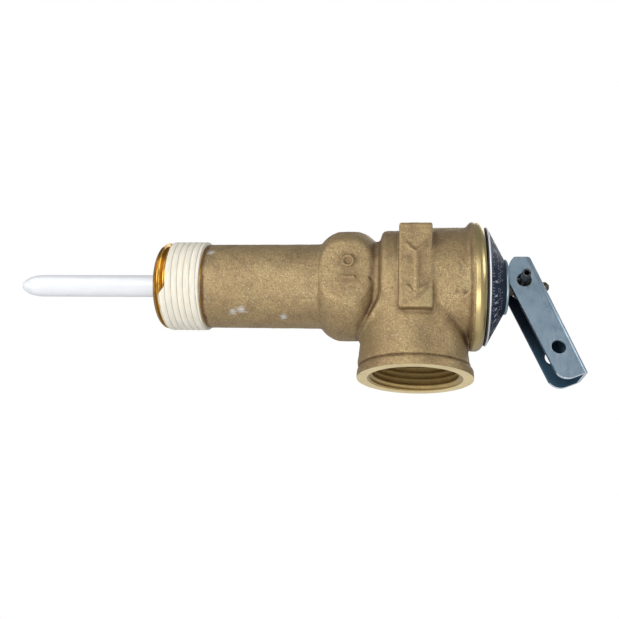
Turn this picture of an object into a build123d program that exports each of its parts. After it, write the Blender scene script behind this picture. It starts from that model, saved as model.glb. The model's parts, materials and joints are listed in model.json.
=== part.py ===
from build123d import *
import os
from math import acos, cos, degrees, radians, sin, tan

# Temperature and pressure relief valve with a 3/4-14 inlet, a side outlet and a long thermostat probe.
# +X runs along the valve axis from the inlet to the test lever, +Z is up and the outlet faces down.
# The origin is on the valve axis, at the shoulder end of the inlet thread. All lengths are millimetres.

# Pipe thread, modelled as straight ring grooves with the crest and root flats of the real form.
PITCH = 25.4 / 14
FLANK = 0.35 * PITCH
FLAT = 0.5 * PITCH - FLANK

# Body, outside. Every *_X is a place along the valve axis, every *_R a radius.
INLET_X = -14.2
CREST_R = 13.2
ROOT_R = 12.1
SHANK_X = 0.7
SHANK_R = 12.65
BOSS_X = 34.5
BOSS_R = 16.3
NECK_X = 51.05
NECK_R = 13.4
CHAMBER_X = 52.2
CHAMBER_R = 16.5
CHAMBER_END_R = 17.33
RIM_X = 76.5
RIM_R = 18.85
RIM_END_X = 81.6
RIM_END_R = 17.4
BOSS_FLAT_Y = 13.5
PAD_Y = 17.5
PAD_HALF_WIDTH = 4.7
PAD_HALF_HEIGHT = 12.64
PAD_BEVEL = 0.4
PAD_CORNER_R = 0.7
ARROW_HEIGHT = 0.4
ARROW_LINE = 1.3
ARROW_HALF_WIDTH = 2.5
ARROW_HEAD_Z = -9.8
ARROW_TAIL_Z = 2.6

# Body, inside.
INLET_BORE_R = 8.7
RING_GROOVE_X = 35.1
RING_GROOVE_R = 9.35
SPIDER_X = 36.2
SPIDER_SHOULDER_X = 38.2
UPPER_BORE_R = 8.1
ORIFICE_X = 49.0
ORIFICE_R = 7.4
FLOOR_X = 54.7
LIP_X = 55.9
SPRING_SPACE_R = 13.5
BONNET_SHOULDER_X = 76.7
BONNET_BORE_R = 15.0

# Outlet boss, about a vertical axis.
OUTLET_X = 62.1
OUTLET_Z = -28.17
OUTLET_BORE_R = 12.2
OUTLET_ROOT_R = 13.3
OUTLET_GROOVES = 7
OUTLET_PASSAGE_R = 9.0
OUTLET_NECK_R = 15.3
OUTLET_CAVITY_DEPTH = 14.2
OUTLET_THREAD_DEPTH = 14.7

# Thermostat.
PROBE_TIP_X = -60.05
CAP_JOINT_X = -56.0
PROBE_R = 3.34
TUBE_R = 2.9
TUBE_BORE_R = 2.35
TUBE_DOME_X = -54.8
TUBE_END_X = 34.0
ROD_R = 1.2
ROD_TRAVEL = 2.5

# Disc assembly, stem and lever.
SEAT_GAP = 0.1
STEM_R = 2.5
STEM_NOSE_R = 1.5
STEM_END_X = 100.3
SHAFT_CLEARANCE = 0.05
PIVOT_X = 92.62
PIN_R = 1.2
PIN_HALF_LENGTH = 11.1
WASHER_X = 87.45
WASHER_TOP_X = 88.27
LEVER_LEAN = radians(21.8)
LEVER_LENGTH = 30.6
LEVER_HALF_WIDTH = 5.96
LEVER_SHEET = 1.2
LEVER_BACK = 4.74
LEVER_FREE_EDGE = -3.4
LEVER_FREE_EDGE_AT_PIVOT = -4.2
LEVER_TOP = 7.08
PIVOT_HOLE_R = 2.05
TAG_HOLE_R = 1.95
TAG_HOLE_DOWN = 21.4
TAG_HOLE_OUT = 0.43

# The lever heel rolls on its washer. Its outline is the curve whose distance from the pivot grows by
# LIFT_RATE for each radian that the lever turns, so the stem rises evenly with the lever.
HEEL = PIVOT_X - WASHER_TOP_X - 0.1
LIFT_RATE = 3.2

os.makedirs("parts", exist_ok=True)


def save(piece, name):
    """Label a finished piece and write it as a STEP file of the same name."""
    piece.part.label = name
    export_step(piece.part, f"parts/{name}.step")


def turned(name, *outline):
    """A piece turned about the valve axis from a closed outline of (x, radius) corners."""
    with BuildPart() as piece:
        with BuildSketch(Plane.XZ):
            with BuildLine():
                Polyline(*outline, close=True)
            make_face()
        revolve(axis=Axis.X)
    save(piece, name)


def ring(name, start, end, inner, outer):
    """A plain turned ring from start to end along the valve axis."""
    turned(name, (start, inner), (start, outer), (end, outer), (end, inner))


def grooves(start, count, crest, root):
    """Corners of a row of thread grooves: the flank down, the root, the flank up, then the next crest."""
    corners = []
    for turn in range(count):
        groove = start + turn * PITCH
        corners.append((groove, crest))
        corners.append((groove + FLANK, root))
        corners.append((groove + FLANK + FLAT, root))
        corners.append((groove + 2 * FLANK + FLAT, crest))
    return corners


# Inlet thread: six grooves, then a run-out groove that ends at the shank.
INLET_GROOVES = 6
LAST_CREST_X = -0.55
FIRST_GROOVE_X = LAST_CREST_X - INLET_GROOVES * PITCH
INLET_THREAD = grooves(FIRST_GROOVE_X, INLET_GROOVES, CREST_R, ROOT_R)
RUN_OUT_R = 12.25

# Body: barrel, outlet boss, wrench pads and flow arrow, then the flats and the bores are cut.
across_outlet = Plane((OUTLET_X, 0, 0), x_dir=(1, 0, 0), z_dir=(0, -1, 0))
outlet_axis = Axis((OUTLET_X, 0, 0), (0, 0, 1))
outlet_groove_start = -OUTLET_Z - OUTLET_GROOVES * PITCH - 0.3
outlet_thread = grooves(outlet_groove_start, OUTLET_GROOVES, OUTLET_BORE_R, OUTLET_ROOT_R)
outlet_cut_start = SPRING_SPACE_R - 3.0
with BuildPart() as valve_body:
    with BuildSketch(Plane.XZ):
        with BuildLine():
            Line((INLET_X, 0), (INLET_X, 11.2))
            ThreePointArc((INLET_X, 11.2), (-13.3, 12.5), (-11.75, CREST_R))
            Polyline((-11.75, CREST_R), *INLET_THREAD, (LAST_CREST_X, CREST_R), (0, RUN_OUT_R))
            Polyline((0, RUN_OUT_R), (0.45, RUN_OUT_R), (SHANK_X, SHANK_R - 0.2))
            Polyline((SHANK_X, SHANK_R - 0.2), (SHANK_X + 0.2, SHANK_R), (BOSS_X, SHANK_R))
            ThreePointArc((BOSS_X, SHANK_R), (36.9, 15.05), (39.9, BOSS_R))
            Line((39.9, BOSS_R), (45.3, BOSS_R))
            ThreePointArc((45.3, BOSS_R), (48.1, 15.3), (50.1, 13.7))
            ThreePointArc((50.1, 13.7), (NECK_X, NECK_R), (CHAMBER_X, 14.1))
            Line((CHAMBER_X, 14.1), (CHAMBER_X + 0.2, 15.2))
            ThreePointArc((CHAMBER_X + 0.2, 15.2), (52.75, 16.15), (53.6, CHAMBER_R))
            Polyline((53.6, CHAMBER_R), (57.1, CHAMBER_R), (67.1, CHAMBER_END_R), (RIM_X, CHAMBER_END_R))
            Line((RIM_X, CHAMBER_END_R), (RIM_X + 1.5, RIM_R))
            Line((RIM_X + 1.5, RIM_R), (RIM_X + 2.9, RIM_R))
            ThreePointArc((RIM_X + 2.9, RIM_R), (80.85, 18.3), (RIM_END_X, RIM_END_R))
            Polyline((RIM_END_X, RIM_END_R), (RIM_END_X, 0), (INLET_X, 0))
        make_face()
    revolve(axis=Axis.X)
    with BuildSketch(across_outlet):
        with BuildLine():
            Polyline((0, OUTLET_Z), (16.2, OUTLET_Z), (16.53, OUTLET_Z + 0.4), (16.2, -25.4), (15.95, -25.2))
            Polyline((15.95, -25.2), (16.0, -24.9), (OUTLET_NECK_R, -18), (OUTLET_NECK_R, 0), (0, 0))
            Line((0, 0), (0, OUTLET_Z))
        make_face()
    revolve(axis=outlet_axis)
    with BuildSketch(across_outlet):
        RectangleRounded(2 * PAD_HALF_WIDTH, 2 * PAD_HALF_HEIGHT, PAD_CORNER_R)
    extrude(amount=PAD_Y - PAD_BEVEL, both=True)
    for side in (-1, 1):
        pad_plane = Plane((OUTLET_X, side * (PAD_Y - PAD_BEVEL), 0), x_dir=(1, 0, 0), z_dir=(0, side, 0))
        with BuildSketch(pad_plane):
            RectangleRounded(2 * PAD_HALF_WIDTH, 2 * PAD_HALF_HEIGHT, PAD_CORNER_R)
        extrude(amount=PAD_BEVEL, taper=45)
    with BuildSketch(across_outlet.offset(PAD_Y)):
        with Locations((0, (ARROW_HEAD_Z + ARROW_TAIL_Z) / 2 + ARROW_LINE)):
            Rectangle(ARROW_LINE, ARROW_TAIL_Z - ARROW_HEAD_Z)
        for tip in (ARROW_HEAD_Z, ARROW_TAIL_Z):
            with BuildLine():
                Polyline(
                    (0, tip),
                    (ARROW_HALF_WIDTH, tip + ARROW_HALF_WIDTH),
                    (ARROW_HALF_WIDTH, tip + ARROW_HALF_WIDTH + ARROW_LINE),
                    (0, tip + ARROW_LINE),
                    (-ARROW_HALF_WIDTH, tip + ARROW_HALF_WIDTH + ARROW_LINE),
                    (-ARROW_HALF_WIDTH, tip + ARROW_HALF_WIDTH),
                    close=True,
                )
            make_face()
    extrude(amount=ARROW_HEIGHT)
    with BuildSketch(Plane.XY.offset(-RIM_R)):
        for side in (-1, 1):
            with Locations((BOSS_X + 8.0, side * (BOSS_FLAT_Y + 5))):
                Rectangle(16.2, 10)
    extrude(amount=2 * RIM_R, mode=Mode.SUBTRACT)
    with BuildSketch(Plane.XZ):
        with BuildLine():
            Polyline((INLET_X, 0), (INLET_X, INLET_BORE_R + 0.5), (INLET_X + 0.5, INLET_BORE_R))
            Polyline(
                (INLET_X + 0.5, INLET_BORE_R),
                (RING_GROOVE_X, INLET_BORE_R),
                (RING_GROOVE_X, RING_GROOVE_R),
                (SPIDER_X, RING_GROOVE_R),
                (SPIDER_X, INLET_BORE_R),
                (SPIDER_SHOULDER_X, INLET_BORE_R),
                (SPIDER_SHOULDER_X, UPPER_BORE_R),
                (ORIFICE_X, UPPER_BORE_R),
                (ORIFICE_X + 0.7, ORIFICE_R),
                (LIP_X, ORIFICE_R),
                (LIP_X, ORIFICE_R + 0.9),
                (FLOOR_X, 9.4),
                (FLOOR_X, 12.3),
            )
            ThreePointArc((FLOOR_X, 12.3), (55.05, 13.15), (55.9, SPRING_SPACE_R))
            Polyline(
                (55.9, SPRING_SPACE_R),
                (BONNET_SHOULDER_X, SPRING_SPACE_R),
                (BONNET_SHOULDER_X, BONNET_BORE_R),
                (RIM_END_X, BONNET_BORE_R),
                (RIM_END_X, 0),
                (INLET_X, 0),
            )
        make_face()
    revolve(axis=Axis.X, mode=Mode.SUBTRACT)
    with BuildSketch(Plane((OUTLET_X, 0, 0), x_dir=(0, 0, -1), z_dir=(0, 1, 0))):
        with BuildLine():
            Polyline(
                (outlet_cut_start, 0),
                (outlet_cut_start, OUTLET_PASSAGE_R),
                (OUTLET_CAVITY_DEPTH, OUTLET_PASSAGE_R),
                (OUTLET_THREAD_DEPTH, OUTLET_BORE_R),
                *outlet_thread,
                (-OUTLET_Z, OUTLET_BORE_R),
                (-OUTLET_Z, 0),
                close=True,
            )
        make_face()
    revolve(axis=outlet_axis, mode=Mode.SUBTRACT)
save(valve_body, "valve_body")

# Sealant on the inlet thread: it fills the grooves, and shows a shallow ring groove over each of them.
SEALANT_R = 13.5
SEALANT_START = FIRST_GROOVE_X + FLANK + 0.5 * FLAT
with BuildPart() as thread_sealant:
    with BuildSketch(Plane.XZ):
        under = [corner for corner in INLET_THREAD if corner[0] > SEALANT_START]
        over = [(SEALANT_START, CREST_R + 0.1), (SEALANT_START + 0.2, SEALANT_R)]
        for turn in range(1, INLET_GROOVES):
            valley = SEALANT_START + turn * PITCH
            over += [(valley - 0.22, SEALANT_R), (valley, SEALANT_R - 0.25), (valley + 0.22, SEALANT_R)]
        over += [(0, SEALANT_R), (0, RUN_OUT_R), (LAST_CREST_X, CREST_R)]
        with BuildLine():
            Polyline((SEALANT_START, ROOT_R), *over, *reversed(under), close=True)
        make_face()
    revolve(axis=Axis.X)
save(thread_sealant, "thread_sealant")

# Probe: a plastic sleeve and a rounded cap over the copper tube that holds the wax. Their outside is one
# half-ellipse nose, and their inside follows the tube's round end.
NOSE_LENGTH = 7.0
NOSE_CENTRE_X = PROBE_TIP_X + NOSE_LENGTH
SLEEVE_BORE_R = TUBE_R + 0.02
SLEEVE_END_X = 30.0
CAP_JOINT_ANGLE = degrees(acos((CAP_JOINT_X - NOSE_CENTRE_X) / NOSE_LENGTH))
CAP_JOINT_R = PROBE_R * sin(radians(CAP_JOINT_ANGLE))
DOME_JOINT_ANGLE = degrees(acos((CAP_JOINT_X - TUBE_DOME_X) / SLEEVE_BORE_R))
CAP_BORE_R = SLEEVE_BORE_R * sin(radians(DOME_JOINT_ANGLE))
with BuildPart() as probe_cap:
    with BuildSketch(Plane.XZ):
        with BuildLine():
            EllipticalCenterArc((NOSE_CENTRE_X, 0), NOSE_LENGTH, PROBE_R, 180, arc_size=CAP_JOINT_ANGLE - 180)
            Line((CAP_JOINT_X, CAP_JOINT_R), (CAP_JOINT_X, CAP_BORE_R))
            CenterArc((TUBE_DOME_X, 0), SLEEVE_BORE_R, DOME_JOINT_ANGLE, 180 - DOME_JOINT_ANGLE)
            Line((TUBE_DOME_X - SLEEVE_BORE_R, 0), (PROBE_TIP_X, 0))
        make_face()
    revolve(axis=Axis.X)
save(probe_cap, "probe_cap")

with BuildPart() as probe_sleeve:
    with BuildSketch(Plane.XZ):
        with BuildLine():
            EllipticalCenterArc((NOSE_CENTRE_X, 0), NOSE_LENGTH, PROBE_R, 90, arc_size=CAP_JOINT_ANGLE - 90)
            Line((CAP_JOINT_X, CAP_JOINT_R), (CAP_JOINT_X, CAP_BORE_R))
            CenterArc((TUBE_DOME_X, 0), SLEEVE_BORE_R, 90, DOME_JOINT_ANGLE - 90)
            Polyline((TUBE_DOME_X, SLEEVE_BORE_R), (SLEEVE_END_X, SLEEVE_BORE_R), (SLEEVE_END_X, PROBE_R))
            Line((SLEEVE_END_X, PROBE_R), (NOSE_CENTRE_X, PROBE_R))
        make_face()
    revolve(axis=Axis.X)
save(probe_sleeve, "probe_sleeve")

with BuildPart() as thermostat_tube:
    with BuildSketch(Plane.XZ):
        with BuildLine():
            CenterArc((TUBE_DOME_X, 0), TUBE_R, 90, 90)
            Line((TUBE_DOME_X - TUBE_R, 0), (TUBE_DOME_X - TUBE_BORE_R, 0))
            CenterArc((TUBE_DOME_X, 0), TUBE_BORE_R, 90, 90)
            Polyline((TUBE_DOME_X, TUBE_BORE_R), (TUBE_END_X, TUBE_BORE_R), (TUBE_END_X, TUBE_R))
            Line((TUBE_END_X, TUBE_R), (TUBE_DOME_X, TUBE_R))
        make_face()
    revolve(axis=Axis.X)
save(thermostat_tube, "thermostat_tube")

PLUG_X = 22.0
PLUG_WASHER_X = 30.2
SPIGOT_X = 31.0
ROD_FOOT_X = SPIGOT_X + 0.05
WAX_R = TUBE_BORE_R - 0.02
turned("wax_charge", (TUBE_DOME_X, 0), (TUBE_DOME_X, WAX_R), (PLUG_X, WAX_R), (PLUG_X, 0))
turned("plug", (PLUG_X, 0), (PLUG_X, WAX_R), (PLUG_WASHER_X, WAX_R), (PLUG_WASHER_X, 0))
turned("plug_washer", (PLUG_WASHER_X, 0), (PLUG_WASHER_X, WAX_R), (SPIGOT_X, WAX_R), (SPIGOT_X, 0))

# Guide bush: its spigot is crimped in the tube, its flange seats under the spider, its neck goes through it.
BUSH_FLANGE_R = 4.6
BUSH_NECK_R = 3.6
BUSH_END_X = 38.9
BUSH_BORE_R = ROD_R + SHAFT_CLEARANCE
turned(
    "guide_bush",
    (SPIGOT_X, BUSH_BORE_R),
    (SPIGOT_X, WAX_R),
    (TUBE_END_X, WAX_R),
    (TUBE_END_X, BUSH_FLANGE_R),
    (SPIDER_X, BUSH_FLANGE_R),
    (SPIDER_X, BUSH_NECK_R),
    (BUSH_END_X, BUSH_NECK_R),
    (BUSH_END_X, BUSH_BORE_R),
)

# Spider: a disc with four flow windows, and a bridge over the bush that backs the return spring.
BRIDGE_X = 47.6
BRIDGE_SHEET = 0.8
BRIDGE_WIDTH = 4.2
BRIDGE_HALF_HEIGHT = 4.4
BRIDGE_FOOT_X = SPIDER_SHOULDER_X - 0.3
with BuildPart() as spider:
    with BuildSketch(Plane.YZ.offset(SPIDER_X)):
        Circle(INLET_BORE_R - 0.02)
        Circle(BUSH_NECK_R + 0.01, mode=Mode.SUBTRACT)
        with PolarLocations(6.0, 4, start_angle=45):
            SlotOverall(4.4, 2.8, rotation=90, mode=Mode.SUBTRACT)
    extrude(amount=SPIDER_SHOULDER_X - SPIDER_X)
    with BuildSketch(Plane.XY.offset(-BRIDGE_WIDTH / 2)):
        with BuildLine():
            Polyline(
                (BRIDGE_FOOT_X, BRIDGE_HALF_HEIGHT),
                (BRIDGE_X, BRIDGE_HALF_HEIGHT),
                (BRIDGE_X, -BRIDGE_HALF_HEIGHT),
                (BRIDGE_FOOT_X, -BRIDGE_HALF_HEIGHT),
                (BRIDGE_FOOT_X, -BRIDGE_HALF_HEIGHT - BRIDGE_SHEET),
                (BRIDGE_X + BRIDGE_SHEET, -BRIDGE_HALF_HEIGHT - BRIDGE_SHEET),
                (BRIDGE_X + BRIDGE_SHEET, BRIDGE_HALF_HEIGHT + BRIDGE_SHEET),
                (BRIDGE_FOOT_X, BRIDGE_HALF_HEIGHT + BRIDGE_SHEET),
                close=True,
            )
        make_face()
    extrude(amount=BRIDGE_WIDTH)
    with BuildSketch(Plane.YZ.offset(BRIDGE_X - 1)):
        Circle(ROD_R + 0.3)
    extrude(amount=3.0, mode=Mode.SUBTRACT)
save(spider, "spider")

# Retaining ring: an open snap ring in the groove of the inlet bore, with play on both sides.
RING_PLAY = 0.05
RING_INNER_R = 7.7
RING_GAP = 2.4
with BuildPart() as retaining_ring:
    with BuildSketch(Plane.YZ.offset(RING_GROOVE_X + RING_PLAY)):
        Circle(RING_GROOVE_R - RING_PLAY)
        Circle(RING_INNER_R, mode=Mode.SUBTRACT)
        with Locations((0, (RING_GROOVE_R + RING_INNER_R) / 2)):
            Rectangle(RING_GAP, 3.0, mode=Mode.SUBTRACT)
    extrude(amount=SPIDER_X - RING_GROOVE_X - 2 * RING_PLAY)
save(retaining_ring, "retaining_ring")

# Push rod, its snap collar and the button that meets the disc screw.
COLLAR_X = 40.4
COLLAR_END_X = 41.2
COLLAR_R = 2.4
BUTTON_X = 49.0
SCREW_HEAD_X = 53.6
BUTTON_END_X = SCREW_HEAD_X - 0.1 - ROD_TRAVEL
ROD_END_X = BUTTON_END_X - 1.0
turned("push_rod", (ROD_FOOT_X, 0), (ROD_FOOT_X, ROD_R), (ROD_END_X, ROD_R), (ROD_END_X, 0))
ring("rod_collar", COLLAR_X, COLLAR_END_X, ROD_R, COLLAR_R)
turned(
    "rod_button",
    (BUTTON_X, ROD_R),
    (BUTTON_X, COLLAR_R),
    (BUTTON_END_X - 0.4, COLLAR_R),
    (BUTTON_END_X, COLLAR_R - 0.4),
    (BUTTON_END_X, 0),
    (ROD_END_X, 0),
    (ROD_END_X, ROD_R),
)


def coil_spring(name, start, end, mean_radius, wire_radius, turns):
    """A compression spring along the valve axis, with its two ends ground flat."""
    with BuildPart() as spring:
        with BuildLine():
            length = end - start
            wire = Helix(length / turns, length, mean_radius, center=(start, 0, 0), direction=(1, 0, 0))
        with BuildSketch(Plane(wire @ 0, z_dir=wire % 0)):
            Circle(wire_radius)
        sweep(is_frenet=True)
        split(bisect_by=Plane.YZ.offset(start), keep=Keep.TOP)
        split(bisect_by=Plane.YZ.offset(end), keep=Keep.BOTTOM)
    save(spring, name)


coil_spring("return_spring", COLLAR_END_X, BRIDGE_X, 1.9, 0.35, 4)

# Disc assembly. The rubber disc stands just off the seat lip.
RUBBER_X = LIP_X + SEAT_GAP
HOLDER_X = RUBBER_X + 2.4
HUB_X = HOLDER_X + 2.2
HUB_R = 6.2
HUB_END_X = HUB_X + 5.8
HEAD_X = HOLDER_X + 3.6
SCREW_R = 1.5
RUBBER_R = 9.7
HOLDER_R = 10.9
HEAD_POCKET_R = 4.05
CLIP_X = 63.5
CLIP_GROOVE_R = 4.6
DISC_WASHER_X = RUBBER_X - 1.0
ring("seat_disc", RUBBER_X, HOLDER_X, SCREW_R, RUBBER_R)
turned(
    "disc_holder",
    (RUBBER_X + 1.0, RUBBER_R + 0.02),
    (RUBBER_X + 1.0, HOLDER_R),
    (HUB_X, HOLDER_R),
    (HUB_X, HUB_R),
    (HUB_END_X, HUB_R),
    (HUB_END_X, HEAD_POCKET_R),
    (CLIP_X + 0.8, HEAD_POCKET_R),
    (CLIP_X + 0.8, CLIP_GROOVE_R),
    (CLIP_X, CLIP_GROOVE_R),
    (CLIP_X, HEAD_POCKET_R),
    (HEAD_X, HEAD_POCKET_R),
    (HEAD_X, SCREW_R),
    (HOLDER_X, SCREW_R),
    (HOLDER_X, RUBBER_R + 0.02),
)
ring("disc_washer", DISC_WASHER_X, RUBBER_X, SCREW_R, 6.2)

SCREW_HEAD_R = 2.8
with BuildPart() as disc_screw:
    with BuildSketch(Plane.XZ):
        with BuildLine():
            Polyline(
                (SCREW_HEAD_X, 0),
                (SCREW_HEAD_X, SCREW_HEAD_R - 0.5),
                (SCREW_HEAD_X + 0.5, SCREW_HEAD_R),
                (DISC_WASHER_X, SCREW_HEAD_R),
                (DISC_WASHER_X, SCREW_R),
                (HEAD_X - 0.4, SCREW_R),
                (HEAD_X - 0.4, 0),
                close=True,
            )
        make_face()
    revolve(axis=Axis.X)
    with BuildSketch(Plane.YZ.offset(SCREW_HEAD_X)):
        Rectangle(0.8, 6.0)
    extrude(amount=0.6, mode=Mode.SUBTRACT)
save(disc_screw, "disc_screw")

# Stem: a head held in the disc holder, a straight shank, a hole for the pin and a thinner nose.
NOSE_X = PIVOT_X + 2.1
with BuildPart() as stem:
    with BuildSketch(Plane.XZ):
        with BuildLine():
            Polyline(
                (HEAD_X + 0.05, 0),
                (HEAD_X + 0.05, HEAD_POCKET_R - 0.05),
                (CLIP_X - 0.05, HEAD_POCKET_R - 0.05),
                (CLIP_X - 0.05, STEM_R),
                (NOSE_X - 0.4, STEM_R),
                (NOSE_X, STEM_R - 0.4),
                (NOSE_X, STEM_NOSE_R),
                (STEM_END_X - 0.8, STEM_NOSE_R),
                (STEM_END_X, STEM_NOSE_R - 0.8),
                (STEM_END_X, 0),
                close=True,
            )
        make_face()
    revolve(axis=Axis.X)
    with BuildSketch(Plane.XZ):
        with Locations((PIVOT_X, 0)):
            Circle(PIN_R)
    extrude(amount=2 * STEM_R, both=True, mode=Mode.SUBTRACT)
save(stem, "stem")

with BuildPart() as stem_clip:
    with BuildSketch(Plane.YZ.offset(CLIP_X + 0.02)):
        Circle(CLIP_GROOVE_R - 0.05)
        Circle(STEM_R + SHAFT_CLEARANCE, mode=Mode.SUBTRACT)
        with Locations((0, 3.5)):
            Rectangle(1.6, 3.0, mode=Mode.SUBTRACT)
    extrude(amount=0.74)
save(stem_clip, "stem_clip")

# Pivot pin: a rolled pin, so it is a tube with a slit along it.
with BuildPart() as pivot_pin:
    with BuildSketch(Plane.XZ):
        with Locations((PIVOT_X, 0)):
            Circle(PIN_R)
            Circle(PIN_R - 0.5, mode=Mode.SUBTRACT)
        with Locations((PIVOT_X + PIN_R, 0)):
            Rectangle(2.0, 0.3, mode=Mode.SUBTRACT)
    extrude(amount=PIN_HALF_LENGTH, both=True)
    chamfer(pivot_pin.edges().filter_by(GeomType.CIRCLE).filter_by(lambda edge: edge.radius > 1.0), 0.15)
save(pivot_pin, "pivot_pin")

# Main spring and its cup.
SPRING_X = HUB_X + 0.9
SPRING_END_X = 83.9
CUP_LIP_R = 10.2
turned(
    "lower_spring_seat",
    (HUB_X, HUB_R + 0.05),
    (HUB_X, HOLDER_R),
    (SPRING_X + 1.1, HOLDER_R),
    (SPRING_X + 1.1, CUP_LIP_R),
    (SPRING_X, CUP_LIP_R),
    (SPRING_X, HUB_R + 0.05),
)
coil_spring("main_spring", SPRING_X, SPRING_END_X, 8.7, 1.05, 6.5)

# Bonnet: a threaded skirt in the body, a cone, and a neck that holds the plate and washers on top.
PLATE_OUTER = [(82.3, 17.4), (87.3, 8.3)]
PLATE_INNER = [(81.95, 17.2), (86.9, 8.1)]
GASKET_END_X = 82.0
PLATE_BACK_X = 86.9
NECK_OUT_R = 4.2
SKIRT_BORE_R = 12.6
SPRING_POCKET_R = 10.4
turned(
    "bonnet",
    (BONNET_SHOULDER_X, SKIRT_BORE_R),
    (BONNET_SHOULDER_X, BONNET_BORE_R - 0.05),
    (GASKET_END_X, BONNET_BORE_R - 0.05),
    (GASKET_END_X, 16.8),
    (GASKET_END_X + 0.15, 16.8),
    (PLATE_BACK_X, 8.06),
    (PLATE_BACK_X, NECK_OUT_R),
    (WASHER_TOP_X - 0.07, NECK_OUT_R),
    (WASHER_TOP_X - 0.07, STEM_R + SHAFT_CLEARANCE),
    (SPRING_END_X, STEM_R + SHAFT_CLEARANCE),
    (SPRING_END_X, SPRING_POCKET_R),
    (GASKET_END_X, SPRING_POCKET_R),
    (GASKET_END_X - 2.5, SKIRT_BORE_R),
)
ring("bonnet_gasket", RIM_END_X, GASKET_END_X, BONNET_BORE_R, 17.1)
turned(
    "name_plate",
    PLATE_INNER[0],
    PLATE_OUTER[0],
    PLATE_OUTER[1],
    (PLATE_OUTER[1][0], NECK_OUT_R + 0.1),
    (PLATE_INNER[1][0], NECK_OUT_R + 0.1),
    PLATE_INNER[1],
)
ring("dust_washer", PLATE_OUTER[1][0], WASHER_X, NECK_OUT_R + 0.1, 7.8)
turned(
    "lever_washer",
    (WASHER_X, NECK_OUT_R + 0.1),
    (WASHER_X, 7.9),
    (WASHER_X + 0.16, 8.06),
    (WASHER_TOP_X - 0.16, 8.06),
    (WASHER_TOP_X, 7.9),
    (WASHER_TOP_X, NECK_OUT_R + 0.1),
)


def on_lever(down, out):
    """A point from the pivot: down along the lever's length, out towards its back, as (x, z)."""
    return (
        down * sin(LEVER_LEAN) + out * cos(LEVER_LEAN),
        out * sin(LEVER_LEAN) - down * cos(LEVER_LEAN),
    )


def heel_point(angle):
    """The point of the heel that meets the washer when the lever has turned by angle."""
    reach = HEEL + LIFT_RATE * angle
    return (
        LIFT_RATE * sin(angle) - reach * cos(angle),
        LIFT_RATE * cos(angle) + reach * sin(angle),
    )


# Test lever: a channel of bent sheet, open towards the valve, with round holes in both cheeks.
HEEL_TURN = radians(44.0)
TIP_CORNER_R = 3.7
CORNER_45 = TIP_CORNER_R * (1 - cos(radians(45)))
CHANNEL_OUT = LEVER_BACK - LEVER_SHEET
pivot_plane = Plane((PIVOT_X, 0, 0), x_dir=(1, 0, 0), z_dir=(0, -1, 0))
lever_down = Vector(sin(LEVER_LEAN), 0, -cos(LEVER_LEAN))
lever_out = Vector(cos(LEVER_LEAN), 0, sin(LEVER_LEAN))
with BuildPart() as test_lever:
    with BuildSketch(pivot_plane):
        heel_curve = [heel_point(HEEL_TURN * step / 6) for step in range(7)]
        edge_top = on_lever(0, LEVER_FREE_EDGE_AT_PIVOT)
        edge_end = on_lever(LEVER_LENGTH - TIP_CORNER_R, LEVER_FREE_EDGE)
        edge_slope = (edge_end[1] - edge_top[1]) / (edge_end[0] - edge_top[0])
        heel_foot = (-HEEL, edge_top[1] + edge_slope * (-HEEL - edge_top[0]))
        top_back_x = (LEVER_BACK - LEVER_TOP * sin(LEVER_LEAN)) / cos(LEVER_LEAN)
        with BuildLine():
            Line(heel_foot, heel_curve[0])
            Spline(*heel_curve, tangents=[(0, 1), (sin(HEEL_TURN), cos(HEEL_TURN))])
            Polyline(
                heel_curve[-1],
                (heel_curve[-1][0] + 0.25, LEVER_TOP),
                (top_back_x - 0.4, LEVER_TOP),
                (top_back_x + 0.35 * tan(LEVER_LEAN), LEVER_TOP - 0.35),
                on_lever(LEVER_LENGTH, LEVER_BACK),
                on_lever(LEVER_LENGTH, LEVER_FREE_EDGE + TIP_CORNER_R),
            )
            ThreePointArc(
                on_lever(LEVER_LENGTH, LEVER_FREE_EDGE + TIP_CORNER_R),
                on_lever(LEVER_LENGTH - CORNER_45, LEVER_FREE_EDGE + CORNER_45),
                edge_end,
            )
            Line(edge_end, heel_foot)
        make_face()
    extrude(amount=LEVER_HALF_WIDTH, both=True)
    long_edges = test_lever.edges().filter_by(Axis((0, 0, 0), lever_down))
    fillet(long_edges.group_by(Axis((0, 0, 0), lever_out))[-1], 1.5)
    with BuildSketch(pivot_plane):
        with BuildLine():
            Polyline(
                on_lever(-30, -30),
                on_lever(-30, CHANNEL_OUT),
                on_lever(60, CHANNEL_OUT),
                on_lever(60, -30),
                close=True,
            )
        make_face()
    extrude(amount=LEVER_HALF_WIDTH - LEVER_SHEET, both=True, mode=Mode.SUBTRACT)
    with BuildSketch(pivot_plane):
        Circle(PIVOT_HOLE_R)
        with Locations(on_lever(TAG_HOLE_DOWN, TAG_HOLE_OUT)):
            Circle(TAG_HOLE_R)
    extrude(amount=2 * LEVER_HALF_WIDTH, both=True, mode=Mode.SUBTRACT)
    with BuildSketch(Plane(Vector(PIVOT_X, 0, 0) + lever_out * 3.0, x_dir=lever_down, z_dir=lever_out)):
        with Locations((3.9, 0)):
            SlotOverall(11.8, 3.8)
    extrude(amount=3.0, mode=Mode.SUBTRACT)
save(test_lever, "test_lever")
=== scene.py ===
import json
from functools import reduce
from itertools import product
from math import atan2, cos, pi, radians, sin, sqrt

import bmesh
import bpy
import numpy as np
from mathutils import Matrix, Vector, noise


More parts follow.
